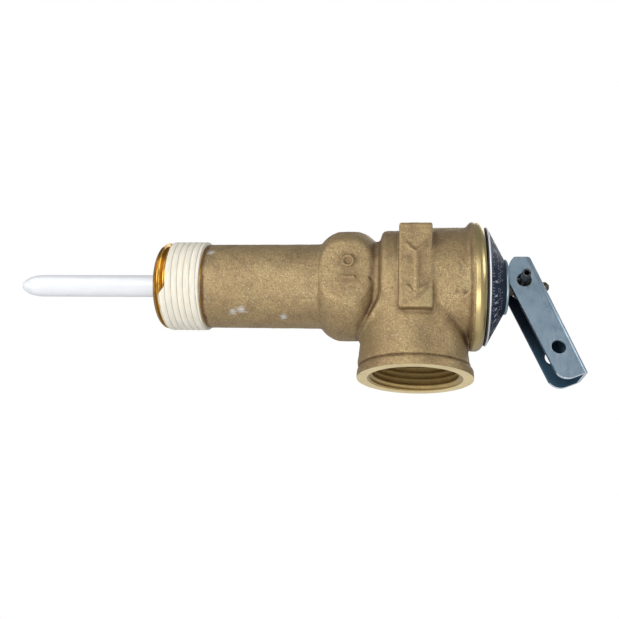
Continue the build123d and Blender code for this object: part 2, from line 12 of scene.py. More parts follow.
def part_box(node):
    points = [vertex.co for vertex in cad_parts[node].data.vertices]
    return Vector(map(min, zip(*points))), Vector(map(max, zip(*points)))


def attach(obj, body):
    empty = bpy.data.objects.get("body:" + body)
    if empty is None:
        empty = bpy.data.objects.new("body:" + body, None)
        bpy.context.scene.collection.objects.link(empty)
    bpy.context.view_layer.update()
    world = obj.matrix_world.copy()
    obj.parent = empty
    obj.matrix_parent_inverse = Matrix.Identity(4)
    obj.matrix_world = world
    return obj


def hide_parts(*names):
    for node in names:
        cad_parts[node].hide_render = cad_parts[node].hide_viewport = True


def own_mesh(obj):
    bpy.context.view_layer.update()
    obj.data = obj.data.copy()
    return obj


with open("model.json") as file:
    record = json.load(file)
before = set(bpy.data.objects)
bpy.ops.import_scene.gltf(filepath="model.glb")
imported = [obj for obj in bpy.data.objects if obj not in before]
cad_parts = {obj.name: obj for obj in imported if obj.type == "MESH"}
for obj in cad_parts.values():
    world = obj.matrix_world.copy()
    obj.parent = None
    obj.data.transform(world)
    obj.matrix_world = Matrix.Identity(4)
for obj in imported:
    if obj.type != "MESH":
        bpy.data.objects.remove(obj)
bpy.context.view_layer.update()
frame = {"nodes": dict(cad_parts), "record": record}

# Lengths in this script are millimetres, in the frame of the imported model: +X runs from the inlet to
# the lever, +Z is up, and the origin is on the valve axis at the shoulder end of the inlet thread.
MM = 0.001


# --------------------------------------------------------------------------------------------------
# Places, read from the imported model
# --------------------------------------------------------------------------------------------------
def span(node, axis):
    """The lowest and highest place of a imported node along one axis."""
    low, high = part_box(node)
    return low[axis] / MM, high[axis] / MM


X, Z = 0, 2
INLET_X, RIM_END_X = span("valve_body", X)
OUTLET_Z, RIM_R = span("valve_body", Z)
SHOULDER_X = span("thread_sealant", X)[1]
SEALANT_R = span("thread_sealant", Z)[1]
OUTLET_X = 62.1
PITCH = 25.4 / 14


# --------------------------------------------------------------------------------------------------
# Mesh helpers
# --------------------------------------------------------------------------------------------------
def arc(start, middle, end, steps=8):
    """Points along the circle through three points, from start to end."""
    (ax, ay), (bx, by), (cx, cy) = start, middle, end
    d = 2 * (ax * (by - cy) + bx * (cy - ay) + cx * (ay - by))
    aa, bb, cc = ax * ax + ay * ay, bx * bx + by * by, cx * cx + cy * cy
    ux = (aa * (by - cy) + bb * (cy - ay) + cc * (ay - by)) / d
    uy = (aa * (cx - bx) + bb * (ax - cx) + cc * (bx - ax)) / d
    radius = sqrt((ax - ux) ** 2 + (ay - uy) ** 2)
    first = atan2(ay - uy, ax - ux)
    turn = (bx - ax) * (cy - ay) - (by - ay) * (cx - ax)
    sweep = (atan2(cy - uy, cx - ux) - first) % (2 * pi)
    if turn < 0:
        sweep -= 2 * pi
    angles = [first + sweep * i / steps for i in range(steps + 1)]
    return [(ux + radius * cos(t), uy + radius * sin(t)) for t in angles]


def make_object(name, points, faces):
    """A mesh object from points in millimetres and faces, with its loose geometry welded."""
    mesh = bpy.data.meshes.new(name)
    corners = [list(map(int, face)) for face in faces]
    mesh.from_pydata([tuple(p) for p in np.asarray(points, float) * MM], [], corners)
    piece = bpy.data.objects.new(name, mesh)
    bpy.context.scene.collection.objects.link(piece)
    weld(mesh)
    return piece


def weld(mesh, distance=1e-7):
    """Join points that coincide, drop what that flattens, and turn all faces outwards."""
    work = bmesh.new()
    work.from_mesh(mesh)
    bmesh.ops.remove_doubles(work, verts=work.verts, dist=distance)
    bmesh.ops.dissolve_degenerate(work, edges=work.edges, dist=distance)
    bmesh.ops.recalc_face_normals(work, faces=work.faces)
    work.to_mesh(mesh)
    work.free()


def along_x(x, radius, angle):
    """A point about the valve axis. Angle 0 is up, and 90 degrees is the front, -Y."""
    return (x, -radius * np.sin(angle), radius * np.cos(angle))


def along_z(z, radius, angle):
    """A point about the outlet axis."""
    return (OUTLET_X + radius * np.cos(angle), radius * np.sin(angle), z)


def lathe(name, outline, place=along_x, segments=128):
    """A solid turned from a closed outline of (along, radius) corners. Those at radius 0 are welded."""
    points, faces = [], []
    for along, radius in outline:
        for i in range(segments):
            points.append(place(along, radius, 2 * pi * i / segments))
    rings = len(outline)
    for j in range(rings):
        k = (j + 1) % rings
        if outline[j][1] == 0 and outline[k][1] == 0:
            continue
        for i in range(segments):
            n = (i + 1) % segments
            faces.append((j * segments + i, j * segments + n, k * segments + n, k * segments + i))
    return make_object(name, points, faces)


def threaded(name, start, end, profile, backing, place=along_x, columns=144, phase=0.0, edge=None):
    """A solid whose one side is a helical thread and whose other side is a plain cylinder.

    profile lists (share of a pitch, radius) across one turn, and backing is the cylinder's radius.
    edge, where it is given, is the start at each angle.
    """
    begin = edge or (lambda angle: start)
    points, faces = thread_side(start, end, profile, place, columns, phase, begin)
    base = len(points)
    for i in range(columns):
        angle = 2 * pi * i / columns
        for radius in (backing, profile[0][1]):
            for x in (begin(angle), end):
                points.append(place(x, radius, angle))
    for i in range(columns):
        a, b = base + 4 * i, base + 4 * ((i + 1) % columns)
        if backing > 0:
            faces.append((a, a + 1, b + 1, b))
        faces.append((a, b, b + 2, a + 2))
        faces.append((a + 1, a + 3, b + 3, b + 1))
    return make_object(name, points, faces)


def thread_side(start, end, profile, place, columns, phase, begin):
    """The helical side of a threaded solid, flattened where it would run past either end."""
    first = np.floor((start - PITCH) / PITCH) - 2
    turns = int(np.ceil((end - start) / PITCH)) + 6
    shares = np.array([p[0] for p in profile])
    width = len(profile)
    points, faces = [], []
    for step in range(turns * columns + 1):
        angle = 2 * pi * (step % columns) / columns
        low = begin(angle)
        places = PITCH * (first + phase + step / columns + shares)
        for x, (_, radius) in zip(np.clip(places, low, end), profile):
            cut = radius if low < x < end else profile[0][1]
            points.append(place(x, cut, angle))
    for step in range(turns * columns):
        for i in range(width - 1):
            a = step * width + i
            faces.append((a, a + 1, a + width + 1, a + width))
    return points, faces


def carve(piece, tool, operation="DIFFERENCE"):
    """Cut the piece with a tool, or join the two, and delete the tool."""
    step = piece.modifiers.new("carve", "BOOLEAN")
    step.operation = operation
    step.solver = "MANIFOLD"
    step.object = tool
    apply_modifiers(piece)
    bpy.data.objects.remove(tool)


def apply_modifiers(piece):
    """Replace the piece's mesh by what its modifiers make of it."""
    bpy.context.view_layer.update()
    result = bpy.data.meshes.new_from_object(piece.evaluated_get(bpy.context.evaluated_depsgraph_get()))
    piece.modifiers.clear()
    piece.data = result


def shade(piece, angle=35):
    """Smooth shading that stays sharp at edges over an angle."""
    piece.data.shade_smooth()
    piece.data.set_sharp_from_angle(angle=radians(angle))


def vertex_array(mesh):
    """A mesh's points in millimetres."""
    points = np.zeros(3 * len(mesh.vertices))
    mesh.vertices.foreach_get("co", points)
    return points.reshape(-1, 3) / MM


def normal_array(mesh):
    """The normal at each of a mesh's points."""
    normals = np.zeros(3 * len(mesh.vertices))
    mesh.vertex_normals.foreach_get("vector", normals)
    return normals.reshape(-1, 3)


# --------------------------------------------------------------------------------------------------
# Distance fields, for the casting: its parts melt into each other as cast metal does
# --------------------------------------------------------------------------------------------------
def outline_distance(outline, u, v):
    """Signed distance from points (u, v) to a closed outline, negative inside it."""
    nearest = np.full(u.shape, 1e9)
    inside = np.zeros(u.shape, bool)
    for (ax, ay), (bx, by) in zip(outline, outline[1:] + outline[:1]):
        ex, ey = bx - ax, by - ay
        length = ex * ex + ey * ey
        if length == 0:
            continue
        share = np.clip(((u - ax) * ex + (v - ay) * ey) / length, 0, 1)
        nearest = np.minimum(nearest, (u - ax - share * ex) ** 2 + (v - ay - share * ey) ** 2)
        if ey != 0:
            between = (ay > v) != (by > v)
            inside ^= between & (u < ax + (v - ay) * ex / ey)
    return np.where(inside, -1, 1) * np.sqrt(nearest)


def turned_field(outline, along, radius, step=0.1):
    """Distance to a solid turned from a half outline of (along, radius), read off a fine flat grid."""
    us = np.arange(min(p[0] for p in outline) - 6, max(p[0] for p in outline) + 6, step)
    vs = np.arange(0, max(p[1] for p in outline) + 30, step)
    mirror = [(a, -r) for a, r in reversed(outline)]
    flat = outline_distance(outline + mirror, *np.meshgrid(us, vs, indexing="ij"))
    iu = np.clip((along - us[0]) / step, 0, len(us) - 1.001)
    iv = np.clip(radius / step, 0, len(vs) - 1.001)
    i, j = iu.astype(int), iv.astype(int)
    s, t = iu - i, iv - j
    low = flat[i, j] * (1 - s) + flat[i + 1, j] * s
    high = flat[i, j + 1] * (1 - s) + flat[i + 1, j + 1] * s
    return low * (1 - t) + high * t


def box_field(p, centre, half, rounding):
    """Distance to a box with rounded edges."""
    q = [np.abs(p[i] - centre[i]) - half[i] + rounding for i in range(3)]
    outside = np.sqrt(sum(np.maximum(k, 0) ** 2 for k in q))
    return outside + np.minimum(np.maximum(np.maximum(q[0], q[1]), q[2]), 0) - rounding


def melt(a, b, fillet):
    """Union of two fields with a fillet where they meet."""
    h = np.maximum(fillet - np.abs(a - b), 0) / fillet
    return np.minimum(a, b) - h * h * fillet / 4


def cut_away(a, b, fillet):
    """Field a with field b taken out, its new edge eased."""
    return -melt(-a, b, fillet)


def path_field(p, points, radius):
    """Distance to a round rib along a run of points."""
    nearest = np.full(p[0].shape, 1e9)
    for a, b in zip(points, points[1:]):
        e = [b[i] - a[i] for i in range(3)]
        length = sum(k * k for k in e)
        share = np.clip(sum((p[i] - a[i]) * e[i] for i in range(3)) / length, 0, 1)
        nearest = np.minimum(nearest, sum((p[i] - a[i] - share * e[i]) ** 2 for i in range(3)))
    return np.sqrt(nearest) - radius


def surface_net(field, origin, step):
    """Points and faces of a sampled field's zero surface: a point in each cell that it crosses."""
    inside = field < 0
    shape = [n - 1 for n in field.shape]
    count = np.zeros(shape, np.int8)
    for corner in product((0, 1), repeat=3):
        count += inside[tuple(slice(c, c + n) for c, n in zip(corner, shape))]
    active = (count > 0) & (count < 8)
    cells = np.argwhere(active)
    index = np.full(shape, -1)
    index[active] = np.arange(len(cells))
    total, number = np.zeros((len(cells), 3)), np.zeros(len(cells))
    faces = []
    for axis in range(3):
        add_crossings(field, cells, axis, total, number)
        faces += net_faces(inside, index, axis)
    return origin + step * total / number[:, None], np.concatenate(faces)


def add_crossings(field, cells, axis, total, number):
    """Add up where the surface crosses the edges along one axis of each cell, and count them."""
    u, v = (axis + 1) % 3, (axis + 2) % 3
    for i, j in product((0, 1), repeat=2):
        a = np.zeros(3, int)
        a[u], a[v] = i, j
        b = a.copy()
        b[axis] = 1
        fa, fb = field[tuple((cells + a).T)], field[tuple((cells + b).T)]
        crossed = (fa < 0) != (fb < 0)
        place = (cells + a).astype(float)
        place[crossed, axis] += fa[crossed] / (fa[crossed] - fb[crossed])
        total[crossed] += place[crossed]
        number[crossed] += 1


def net_faces(inside, index, axis):
    """A face across each grid edge along one axis that the surface crosses, in both directions."""
    u, v = (axis + 1) % 3, (axis + 2) % 3
    low = [slice(1, -1)] * 3
    low[axis] = slice(0, -1)
    high = list(low)
    high[axis] = slice(1, None)
    before, after = inside[tuple(low)], inside[tuple(high)]
    faces = []
    for here, order in ((before & ~after, 1), (~before & after, -1)):
        edge = np.argwhere(here)
        edge[:, u] += 1
        edge[:, v] += 1
        ring = []
        for i, j in ((0, 0), (-1, 0), (-1, -1), (0, -1)):
            cell = edge.copy()
            cell[:, u] += i
            cell[:, v] += j
            ring.append(index[tuple(cell.T)])
        faces.append(np.stack(ring[::order], axis=1))
    return faces


def sample(field, origin, step, points):
    """A sampled field read between its grid points."""
    place = np.clip((points - origin) / step, 0, np.array(field.shape) - 1.001)
    i = place.astype(int)
    f = place - i
    value = 0.0
    for c in product((0, 1), repeat=3):
        weight = np.prod([f[:, k] if c[k] else 1 - f[:, k] for k in range(3)], axis=0)
        value = value + weight * field[tuple((i + c).T)]
    return value


def settle(field, origin, step, points, rounds=2):
    """Points moved onto the zero surface of a field."""
    for _ in range(rounds):
        value = sample(field, origin, step, points)
        slope = np.zeros_like(points)
        for axis in range(3):
            shift = np.zeros(3)
            shift[axis] = step / 2
            ahead = sample(field, origin, step, points + shift)
            slope[:, axis] = (ahead - sample(field, origin, step, points - shift)) / step
        size = np.maximum((slope**2).sum(axis=1), 0.2)
        points = points - slope * (value / size)[:, None]
    return points


# --------------------------------------------------------------------------------------------------
# Valve body: a casting, then the cuts that a lathe makes in it
# --------------------------------------------------------------------------------------------------
GRID_STEP = 0.42
SHANK_R = 12.65
CHAMBER_END_R = 17.33
FLAT_Y = 13.5
FLAT_X = 42.5
FLAT_HALF_LENGTH = 8.1
PAD_HALF = (4.7, 17.5, 12.64)
PAD_ROUNDING = 0.45
CORE_SHIFT = 0.5
RIB_R = 0.85
# Points of the rib from the chamber down to the outlet boss, on the side where Y is positive.
RIB = [(53.4, 12.9, -6.0), (52.6, 12.1, -9.0), (50.4, 10.0, -12.1), (48.1, 6.6, -14.8), (46.9, 2.5, -16.6)]

BARREL = [
    (INLET_X - 1, 0),
    (INLET_X - 1, 14.0),
    (0.2, 14.0),
    (1.1, SHANK_R),
    (33.6, SHANK_R),
    *arc((34.6, 12.75), (36.9, 15.0), (39.9, 16.3)),
    (42.5, 16.36),
    *arc((45.3, 16.3), (48.1, 15.3), (50.1, 13.7)),
    *arc((50.3, 13.5), (51.05, 13.3), (51.9, 13.9), 4),
    *arc((52.25, 15.0), (52.8, 16.1), (53.9, 16.5), 5),
    (57.1, 16.55),
    (67.1, CHAMBER_END_R),
    (76.3, CHAMBER_END_R),
    (76.8, 17.6),
    (77.2, 18.3),
    (77.4, 19.6),
    (RIM_END_X + 1, 19.6),
    (RIM_END_X + 1, 0),
]
OUTLET_BOSS = [
    (OUTLET_Z - 1, 0),
    (OUTLET_Z - 1, 16.45),
    (OUTLET_Z + 1.0, 16.5),
    (-25.9, 16.35),
    (-25.45, 16.15),
    (-25.2, 15.4),
    (-24.85, 15.98),
    (-22.0, 15.62),
    (-18.0, 15.3),
    (0, 15.3),
    (0, 0),
]

# Blow holes in the casting: place and radius.
PITS = [
    ((73.5, -15.7, -7.35), 0.42),
    ((75.6, -15.6, -7.6), 0.5),
    ((67.9, -15.3, -8.6), 0.55),
    ((69.0, -15.6, -7.9), 0.4),
    ((56.0, -15.2, -6.4), 0.4),
    ((49.8, -13.2, -2.6), 0.5),
    ((22.0, -3.0, 12.3), 0.4),
    ((57.5, 16.4, 2.1), 0.45),
    ((30.0, 12.4, -2.0), 0.4),
]


def casting_field(p):
    """The casting's field: barrel, outlet boss, ribs, wrench flats and pads, raised marks and pits.

    The last number of each melt or cut is the fillet that it leaves.
    """
    x, y, z = p
    radius = np.sqrt(y * y + z * z)
    field = turned_field(BARREL, x, radius)
    core_shift = CORE_SHIFT * np.clip((z - OUTLET_Z - 2.5) / 2, 0, 1)
    boss = turned_field(OUTLET_BOSS, z, np.sqrt((x - OUTLET_X + core_shift) ** 2 + y * y))
    field = melt(field, boss, 1.0)
    for side in (-1, 1):
        rib = [(rx, side * ry, rz) for rx, ry, rz in RIB]
        field = melt(field, path_field(p, rib, RIB_R), 0.9)
    flats = np.maximum(np.abs(x - FLAT_X) - FLAT_HALF_LENGTH, FLAT_Y - np.abs(y))
    field = cut_away(field, flats, 0.6)
    field = melt(field, box_field(p, (OUTLET_X, 0, 0), PAD_HALF, PAD_ROUNDING), 0.6)
    field = melt(field, relief_field(p), 0.4)
    for (cx, cy, cz), size in PITS:
        pit = np.sqrt((x - cx) ** 2 + (y - cy) ** 2 + (z - cz) ** 2) - size
        field = cut_away(field, pit, 0.25)
    return field


# Flow arrow: its shaft's middle, the ends of its two chevrons, and the half sizes of its lines.
SHAFT_Z, SHAFT_HALF_LENGTH = -2.4, 6.0
CHEVRON_TIPS = (-9.8, 2.6)
CHEVRON_SLOPE = 0.95
CHEVRON_HALF_WIDTH = 2.7
CHEVRON_LINE_HALF, SHAFT_LINE_HALF = 0.66, 0.65
CHEVRON_TIP_DROP = 0.7
ARROW_HEIGHT = 0.4
# Foundry marks: a ring and a bar below it.
MARK_X, RING_Z, RING_R = 43.1, 2.5, 1.5
BAR_Z, BAR_HALF_LENGTH = -2.4, 2.2
RING_LINE_HALF, BAR_LINE_HALF = 0.38, 0.42
MARK_HEIGHT = 0.5


def relief_field(p):
    """Raised marks: the flow arrow on the front pad, and two plain foundry marks on the front flat."""
    x, y, z = p
    run = np.abs(x - OUTLET_X)
    lines = np.maximum(run - SHAFT_LINE_HALF, np.abs(z - SHAFT_Z) - SHAFT_HALF_LENGTH)
    for tip in CHEVRON_TIPS:
        across = np.abs(z - tip - CHEVRON_TIP_DROP - CHEVRON_SLOPE * run) - CHEVRON_LINE_HALF
        lines = np.minimum(lines, np.maximum(across, run - CHEVRON_HALF_WIDTH))
    arrow = np.maximum(lines, np.abs(y + PAD_HALF[1]) - ARROW_HEIGHT)
    ring = np.abs(np.sqrt((x - MARK_X) ** 2 + (z - RING_Z) ** 2) - RING_R) - RING_LINE_HALF
    bar = np.maximum(np.abs(x - MARK_X) - BAR_HALF_LENGTH, np.abs(z - BAR_Z) - BAR_LINE_HALF)
    marks = np.maximum(np.minimum(ring, bar), np.abs(y + FLAT_Y) - MARK_HEIGHT)
    return np.minimum(arrow, marks)


def make_casting():
    """The raw casting, with the field that it follows and the low corner of the field's grid."""
    low = np.array([INLET_X - 2.5, -PAD_HALF[1] - 4, OUTLET_Z - 2.5])
    high = np.array([RIM_END_X + 2.5, PAD_HALF[1] + 4, RIM_R + 2.5])
    axes = [np.arange(low[i], high[i], GRID_STEP) for i in range(3)]
    field = casting_field(np.meshgrid(*axes, indexing="ij"))
    points, faces = surface_net(field, low, GRID_STEP)
    points = settle(field, low, GRID_STEP, points)
    casting = make_object("valve_body_cast", points, faces)
    return casting, field, low


THREAD_CREST_R = 13.2
THREAD_ROOT_R = 12.1
THREAD_PHASE = 0.206
# The thread's form across one pitch: share of the pitch, and share of the depth.
THREAD_FORM = ((0, 0), (0.075, 0), (0.425, 1), (0.575, 1), (0.925, 0), (1, 0))
THREAD_END_X = -11.75
INLET_BORE_R = 8.7
SPRING_SPACE_R = 13.5
OUTLET_MINOR_R = 12.2
OUTLET_MAJOR_R = 13.3
PASSAGE_R = 9.0
SPIDER_BORE_R = 8.1
SEAT_BORE_R = 7.4
BONNET_BORE_R = 15.0
CLEAR_R = 16
TURNED_RIM_R = RIM_R - 0.01
RIM_TURNED_X = 78.3
RIM_FACE_X = RIM_END_X - 0.35


def thread_profile(flat_r, depth_r):
    """A pipe thread's form across one pitch, from the crest flat to the root flat and back."""
    return [(share, flat_r + (depth_r - flat_r) * depth) for share, depth in THREAD_FORM]


def cut_inlet(casting):
    """Round the inlet's mouth, cut its thread, and turn the neck between the thread and the shank."""
    far = INLET_X - 4
    face_tool = [
        (far, 0),
        (INLET_X, 0),
        *arc((INLET_X, 11.2), (-13.3, 12.5), (THREAD_END_X, THREAD_CREST_R)),
        (THREAD_END_X, CLEAR_R),
        (far, CLEAR_R),
    ]
    carve(casting, lathe("face_tool", face_tool))
    die = thread_profile(THREAD_CREST_R, THREAD_ROOT_R)
    carve(casting, threaded("die", far, -0.5, die, CLEAR_R, phase=THREAD_PHASE))
    shoulder_tool = [
        (-0.6, THREAD_ROOT_R + 0.1),
        (0.3, THREAD_ROOT_R + 0.1),
        (0.5, SHANK_R - 0.1),
        (1.3, SHANK_R - 0.01),
        (1.3, CLEAR_R),
        (-0.6, CLEAR_R),
    ]
    carve(casting, lathe("shoulder_tool", shoulder_tool))


def cut_rim(casting):
    """Turn the rim that the bonnet sits in."""
    rim_tool = [
        (77.15, 18.1),
        (77.7, 18.72),
        (RIM_TURNED_X, TURNED_RIM_R),
        (79.4, TURNED_RIM_R),
        *arc((79.5, TURNED_RIM_R), (80.5, 18.4), (RIM_FACE_X, 17.5)),
        (RIM_FACE_X, 0),
        (RIM_END_X + 3, 0),
        (RIM_END_X + 3, 22),
        (77.15, 22),
    ]
    carve(casting, lathe("rim_tool", rim_tool, segments=192))


def cut_bores(casting):
    """Bore the body from end to end: inlet, spider seat, valve seat with its lip, spring space."""
    far = INLET_X - 4
    bore_tool = [
        (far, 0),
        (far, INLET_BORE_R + 0.5),
        (INLET_X, INLET_BORE_R + 0.5),
        (INLET_X + 0.5, INLET_BORE_R),
        (38.2, INLET_BORE_R),
        (38.2, SPIDER_BORE_R),
        (49.0, SPIDER_BORE_R),
        (49.7, SEAT_BORE_R),
        (55.9, SEAT_BORE_R),
        (55.9, 8.3),
        (54.7, 9.4),
        (54.7, 12.3),
        *arc((54.8, 12.5), (55.05, 13.15), (55.9, SPRING_SPACE_R), 4),
        (76.7, SPRING_SPACE_R),
        (76.7, BONNET_BORE_R),
        (RIM_END_X + 2, BONNET_BORE_R),
        (RIM_END_X + 2, 0),
    ]
    carve(casting, lathe("bore_tool", bore_tool))


def cut_outlet(casting):
    """Tap the outlet, face it, and open the passage behind it."""
    tap = thread_profile(OUTLET_MINOR_R, OUTLET_MAJOR_R)
    carve(casting, threaded("tap", OUTLET_Z - 3, -14.6, tap, 0, place=along_z))
    outlet_tool = [
        (OUTLET_Z - 4, 0),
        (OUTLET_Z - 4, 22),
        (OUTLET_Z, 22),
        (OUTLET_Z, 13.5),
        (OUTLET_Z + 1.0, OUTLET_MINOR_R),
        (-14.2, OUTLET_MINOR_R),
        (-13.9, PASSAGE_R),
        (-11.0, PASSAGE_R),
        (-11.0, 0),
    ]
    carve(casting, lathe("outlet_tool", outlet_tool, place=along_z, segments=192))


def put_attribute(mesh, name, domain, values):
    """Store a number for each point or face, for the materials to read."""
    made = mesh.attributes.new(name, "FLOAT", domain)
    made.data.foreach_set("value", values.astype(np.float32))


# Finishes of the body, in the order of its materials.
CAST, TURNED, INLET_END, OUTLET_FACE, TAPPED = range(5)
# A face this far inside the casting's skin was cut by a tool.
CUT_DEPTH = 0.22
# How far out from the skin the field is read for the painted shade of recesses.
RECESS_SHADE_REACH = 1.6


def mark_regions(mesh, field, low):
    """The finish of each face of the body: as cast, or turned, faced or tapped."""
    centres = np.zeros(3 * len(mesh.polygons))
    mesh.polygons.foreach_get("center", centres)
    centres = centres.reshape(-1, 3) / MM
    x, y, z = centres.T
    about_axis, about_outlet = np.hypot(y, z), np.hypot(x - OUTLET_X, y)
    machined = sample(field, low, GRID_STEP, centres) < -CUT_DEPTH
    region = np.where(machined, TURNED, CAST)
    region[(x > 76) & (about_axis > 17)] = CAST
    region[(x > RIM_TURNED_X) & (about_axis > 15.5)] = TURNED
    region[machined & (x < 40)] = INLET_END
    region[machined & (z < -24) & (about_outlet < 17.5)] = OUTLET_FACE
    region[machined & (z < -10) & (about_outlet < 13.4)] = TAPPED
    return region


def mark_recess_shade(mesh, field, low):
    """Store how deep each point lies in a recess of the casting, for the painted shade that darkens it
    there. The turned rim has none.
    """
    points = vertex_array(mesh)
    ahead = sample(field, low, GRID_STEP, points + RECESS_SHADE_REACH * normal_array(mesh))
    recess_shade = np.clip(1 - ahead / RECESS_SHADE_REACH, 0, 1)
    recess_shade[(points[:, 0] > 76.9) & (np.hypot(points[:, 1], points[:, 2]) > 17.2)] = 0
    put_attribute(mesh, "recess_shade", "POINT", recess_shade)


def roughen(mesh):
    """Sand-cast unevenness: the cast skin dips a little, never out past the pattern."""
    points = vertex_array(mesh)
    dip = np.zeros(len(points))
    for i, place in enumerate(points):
        broad = noise.noise(Vector(place) * 0.22)
        fine = noise.noise(Vector(place) * 0.9 + Vector((31, 7, 5)))
        dip[i] = 0.05 + 0.05 * broad + 0.05 * fine
    points -= normal_array(mesh) * dip[:, None]
    mesh.vertices.foreach_set("co", (points * MM).ravel())
    mesh.update()


casting, casting_grid, casting_low = make_casting()
roughen(casting.data)
cut_inlet(casting)
cut_rim(casting)
cut_bores(casting)
cut_outlet(casting)
regions = mark_regions(casting.data, casting_grid, casting_low)
mark_recess_shade(casting.data, casting_grid, casting_low)
shade(casting)
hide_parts("valve_body")
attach(casting, "casing")


# --------------------------------------------------------------------------------------------------
# Thread sealant
# --------------------------------------------------------------------------------------------------
SEALANT_BARE_ANGLE = radians(122)
SEALANT_LEFT_X = -12.05
SEALANT_CREEP = 2.0
SEALANT_BACKING_R = 12.2
SEAM_HALF = 0.02
EDGE_WIDTH = 0.3


def sealant_edge(angle):
    """Where the sealant starts at each angle: it follows the thread, so it steps once round the inlet."""
    turn = ((angle - SEALANT_BARE_ANGLE) / (2 * pi)) % 1
    start = SEALANT_LEFT_X + SEALANT_CREEP * min(turn, (1 - turn) / 0.03)
    ragged = 0.16 * noise.noise(Vector((5 * sin(angle), 5 * cos(angle), 3.0)))
    return start + ragged + 0.09 * noise.noise(Vector((17 * sin(angle), 17 * cos(angle), 9.0)))


def smear_sealant(mesh):
    """Thin the coat towards its edges, make it uneven, and mark the seam between its ridges."""
    points = vertex_array(mesh)
    seam = np.zeros(len(points))
    for i, (x, y, z) in enumerate(points):
        radius = sqrt(y * y + z * z)
        if radius < 13:
            continue
        angle = atan2(-y, z)
        share = (x / PITCH - THREAD_PHASE - angle / (2 * pi)) % 1
        seam[i] = 1 if min(share, 1 - share) < SEAM_HALF else 0
        from_edge = min(x - sealant_edge(angle), SHOULDER_X - x)
        dip = 0.12 * max(0, 1 - from_edge / EDGE_WIDTH) ** 2
        dip += 0.05 + 0.05 * noise.noise(Vector((x * 0.8, y * 0.25, z * 0.25)))
        points[i, 1:] *= (radius - dip) / radius
    mesh.vertices.foreach_set("co", (points * MM).ravel())
    put_attribute(mesh, "seam", "POINT", seam)


# Half a ridge of the sealant: share of the pitch, and depth below the ridge's top.
HALF_RIDGE = [(0, 0.22), (0.014, 0.22), (0.045, 0.15), (0.15, 0.08), (0.3, 0.03)]


def make_sealant():
    """The coat that fills the thread, with a low ridge over each of its crests."""
    outer = SEALANT_R - 0.02
    form = HALF_RIDGE + [(0.5, 0)] + [(1 - share, depth) for share, depth in reversed(HALF_RIDGE)]
    sealant = threaded(
        "thread_sealant_coat",
        SEALANT_LEFT_X - 1,
        SHOULDER_X - 0.05,
        [(share, outer - depth) for share, depth in form],
        SEALANT_BACKING_R,
        columns=240,
        phase=THREAD_PHASE,
        edge=sealant_edge,
    )
    smear_sealant(sealant.data)
    shade(sealant, 50)
    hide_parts("thread_sealant")
    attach(sealant, "casing")
    return sealant


sealant = make_sealant()


# --------------------------------------------------------------------------------------------------
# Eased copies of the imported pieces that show: their edges catch the light as real ones do
# --------------------------------------------------------------------------------------------------
def eased(node, width, slot, body):
    """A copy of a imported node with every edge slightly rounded, which stands for the node.

    The lever's long thin faces would show streaks with weighted normals, so it goes without.
    """
    copy = bpy.data.objects.new(node + "_eased", frame["nodes"][node].data.copy())
    bpy.context.scene.collection.objects.link(copy)
    copy.data.materials.clear()
    work = bmesh.new()
    work.from_mesh(copy.data)
    bmesh.ops.remove_doubles(work, verts=work.verts, dist=2e-6)
    bmesh.ops.dissolve_limit(work, verts=work.verts, edges=work.edges, angle_limit=radians(0.8))
    work.to_mesh(copy.data)
    work.free()
    bevel = copy.modifiers.new("bevel", "BEVEL")
    bevel.width = width * MM
    bevel.segments = 2
    bevel.limit_method = "ANGLE"
    bevel.angle_limit = radians(35)
    apply_modifiers(copy)
    if node == "test_lever":
        stamp_lever(copy)
    shade(copy, 30)
    if node != "test_lever":
        even = copy.modifiers.new("even", "WEIGHTED_NORMAL")
        even.keep_sharp = True
        apply_modifiers(copy)
    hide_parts(node)
    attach(copy, body)
    return copy


LEVER_LEAN = radians(21.8)
PIVOT_X = 92.62
# The lever's channel: half its inner width, and how far out its back is inside.
CHANNEL_HALF = 4.76
CHANNEL_OUT = 3.54
SLACK = 0.06
OPEN_EDGE_OUT = -3.2
SHEARED_DOWN = 26


def on_lever(down, out):
    """A place in the frame: down along the lever from its pivot, and out towards its back."""
    x = PIVOT_X + down * sin(LEVER_LEAN) + out * cos(LEVER_LEAN)
    return x, out * sin(LEVER_LEAN) - down * cos(LEVER_LEAN)


# Strokes on the cheek: place down the lever, place out from the pivot, and tilt.
STROKES = [
    (4.6, 1.9, 0.1),
    (6.8, 2.1, 1.2),
    (8.0, 2.0, 0.3),
    (9.8, 2.2, -0.5),
    (11.4, 2.3, 0.2),
    (16.0, 1.7, 0.0),
    (17.0, 1.5, 1.4),
    (17.2, 2.9, 0.1),
]
STROKE_SIZE = (1.4, 0.24, 0.22)


def stamp_lever(lever):
    """Short shallow strokes along the front cheek, in place of a stamped code."""
    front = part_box("test_lever")[0][1] / MM
    for down, out, tilt in STROKES:
        bpy.ops.mesh.primitive_cube_add(size=1)
        stroke = bpy.context.object
        x, z = on_lever(down, out)
        stroke.matrix_world = (
            Matrix.Translation(Vector((x, front, z)) * MM)
            @ Matrix.Rotation(LEVER_LEAN + tilt, 4, "Y")
            @ Matrix.Diagonal((*(size * MM for size in STROKE_SIZE), 1))
        )
        carve(lever, stroke)


